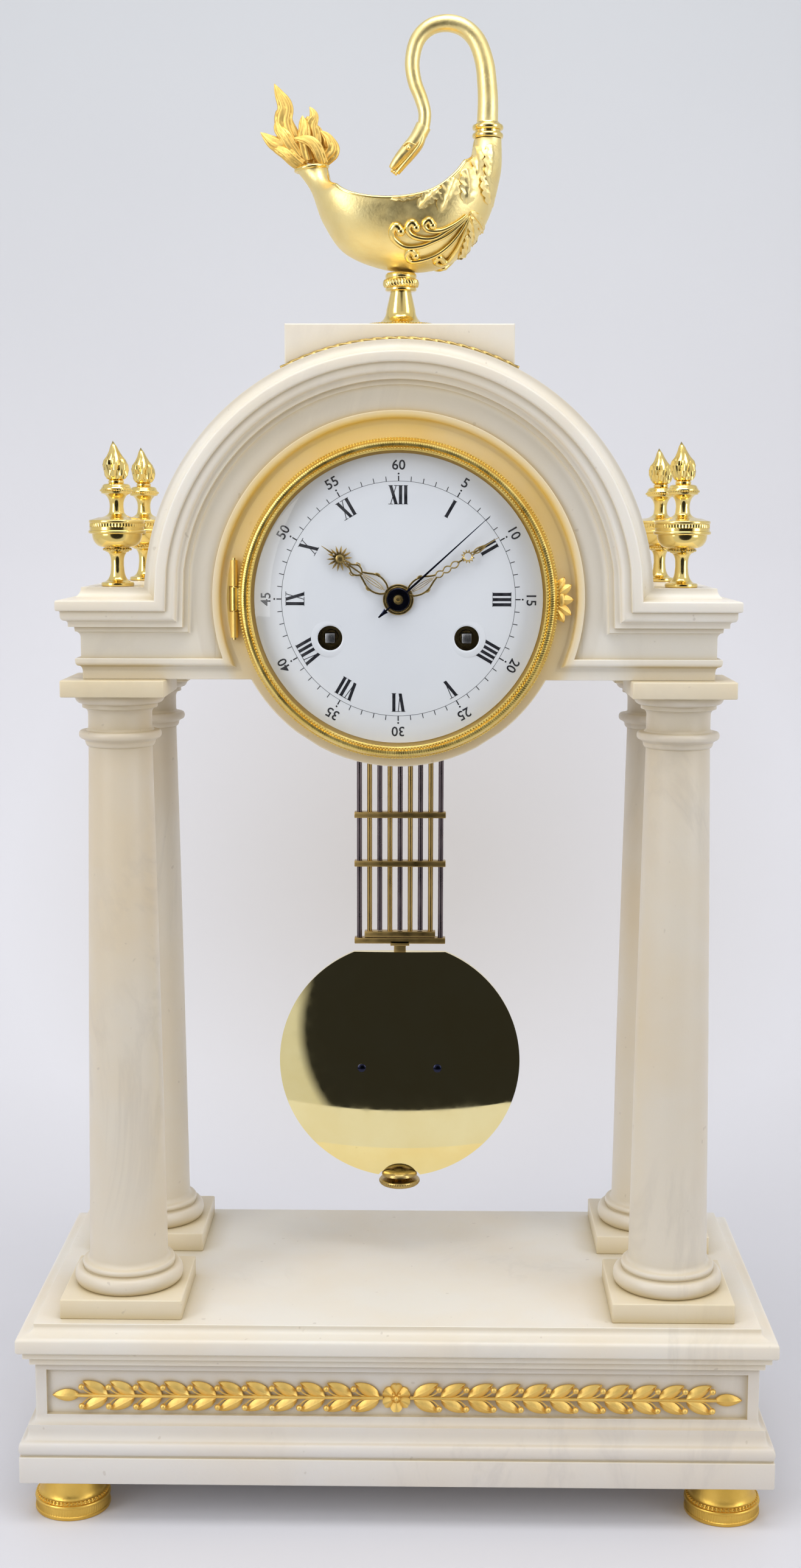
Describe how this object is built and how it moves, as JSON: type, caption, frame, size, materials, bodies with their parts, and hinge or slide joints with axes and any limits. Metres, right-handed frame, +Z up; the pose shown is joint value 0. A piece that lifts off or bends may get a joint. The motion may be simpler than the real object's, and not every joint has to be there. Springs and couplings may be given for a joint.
{
  "type": "table clock",
  "caption": "Portico table clock in white marble with gilt mounts: an arched head holds the dial over a gridiron pendulum, and an antique lamp with a swan's-neck handle tops it.",
  "frame": {"origin": "on the floor, under the centre of the base", "axes": "+X to the right as seen from the front, +Y to the back, +Z up"},
  "size_m": [0.3358, 0.1614, 0.6655],
  "materials": {
    "marble_white": "polished, with faint grey veins",
    "marble_ivory": "polished, warmer in tone",
    "gilt_matte": "matte gilding",
    "gilt_bright": "burnished gilding",
    "brass": "satin",
    "brass_polished": "mirror polish",
    "steel_dark": "dark, lightly brushed",
    "enamel": "glossy",
    "glass_clear": "clear",
    "bell_metal": "satin"
  },
  "bodies": {
    "case": {"base_plinth": "marble_ivory", "crown_block": "marble_ivory", "column_plinth_front_left": "marble_ivory", "column_plinth_front_right": "marble_ivory", "column_plinth_back_left": "marble_ivory", "column_plinth_back_right": "marble_ivory", "abacus_front_left": "marble_ivory", "abacus_front_right": "marble_ivory", "abacus_back_left": "marble_ivory", "abacus_back_right": "marble_ivory", "frieze_block": "marble_white", "base_top_slab": "marble_white", "arch_head": "marble_white", "column_front_left": "marble_white", "column_front_right": "marble_white", "column_back_left": "marble_white", "column_back_right": "marble_white", "laurel_garland_left": "gilt_matte", "laurel_garland_right": "gilt_matte", "frieze_rosette": "gilt_matte", "rope_trim": "gilt_matte", "lamp_bowl": "gilt_matte", "swan_handle": "gilt_matte", "lamp_flame": "gilt_matte", "bezel_hinge_leaf": "gilt_matte", "foot_front_left": "gilt_matte", "foot_front_right": "gilt_matte", "foot_back_left": "gilt_matte", "foot_back_right": "gilt_matte", "lamp_foot": "gilt_bright", "urn_front_left": "gilt_bright", "urn_front_right": "gilt_bright", "urn_back_left": "gilt_bright", "urn_back_right": "gilt_bright", "bezel_hinge_pin": "brass", "front_plate": "brass", "back_plate": "brass", "back_cock": "brass", "rear_hinge_leaf": "brass", "bell_stand": "steel_dark", "dial": "enamel", "bell": "bell_metal"},
    "bezel_door": {"bezel": "gilt_matte", "bezel_glass": "glass_clear", "thumb_catch": "gilt_matte"},
    "seconds_work": {"seconds_hand": "steel_dark", "escape_wheel": "brass"},
    "minute_work": {"minute_hand": "gilt_matte"},
    "hour_work": {"hour_hand": "gilt_matte"},
    "going_drum": {"going_barrel": "brass"},
    "strike_drum": {"strike_barrel": "brass"},
    "pendulum": {"suspension_spring": "steel_dark", "gridiron_steel": "steel_dark", "gridiron_brass": "brass", "pendulum_bob": "brass_polished"},
    "rating": {"rating_nut": "brass"},
    "anchor": {"pallet_anchor": "steel_dark", "crutch": "steel_dark"},
    "striker": {"hammer": "steel_dark"},
    "back_door": {"rear_door": "brass"}
  },
  "joints": [
    {"name": "bezel_hinge", "type": "hinge", "parent": "case", "child": "bezel_door", "pos_m": [-0.0704, -0.0572, 0.4105], "axis": [0, 0, -1], "range_deg": [0, 100]},
    {"name": "seconds_arbor", "type": "hinge", "parent": "case", "child": "seconds_work", "pos_m": [0, -0.0551, 0.4105], "axis": [0, 1, 0], "continuous": true},
    {"name": "minute_arbor", "type": "hinge", "parent": "case", "child": "minute_work", "pos_m": [0, -0.0551, 0.4105], "axis": [0, 1, 0], "continuous": true},
    {"name": "hour_arbor", "type": "hinge", "parent": "case", "child": "hour_work", "pos_m": [0, -0.0551, 0.4105], "axis": [0, 1, 0], "continuous": true},
    {"name": "going_winding", "type": "hinge", "parent": "case", "child": "going_drum", "pos_m": [-0.0293, -0.0551, 0.3939], "axis": [0, 1, 0], "continuous": true},
    {"name": "strike_winding", "type": "hinge", "parent": "case", "child": "strike_drum", "pos_m": [0.0293, -0.0551, 0.3939], "axis": [0, 1, 0], "continuous": true},
    {"name": "pendulum_swing", "type": "hinge", "parent": "case", "child": "pendulum", "pos_m": [0, 0.009, 0.456], "axis": [0, 1, 0], "range_deg": [-3, 3]},
    {"name": "anchor_rock", "type": "hinge", "parent": "case", "child": "anchor", "pos_m": [0, 0.003, 0.436], "axis": [0, 1, 0], "range_deg": [-5, 5]},
    {"name": "rating_turn", "type": "hinge", "parent": "pendulum", "child": "rating", "pos_m": [0, 0.009, 0.1343], "axis": [0, 0, 1], "continuous": true},
    {"name": "hammer_lift", "type": "hinge", "parent": "case", "child": "striker", "pos_m": [0.044, 0.0289, 0.4275], "axis": [0, -1, 0], "range_deg": [0, 12], "stiffness_Nm_per_rad": 0.05, "springref_deg": -8.59},
    {"name": "rear_door_hinge", "type": "hinge", "parent": "case", "child": "back_door", "pos_m": [-0.0659, 0.0572, 0.4105], "axis": [0, 0, 1], "range_deg": [0, 110]}
  ],
  "couplings": [
    {"joint": "minute_arbor", "follows": "seconds_arbor", "ratio": 0.016667},
    {"joint": "hour_arbor", "follows": "seconds_arbor", "ratio": 0.0013889},
    {"joint": "anchor_rock", "follows": "pendulum_swing", "ratio": 1.5882}
  ]
}
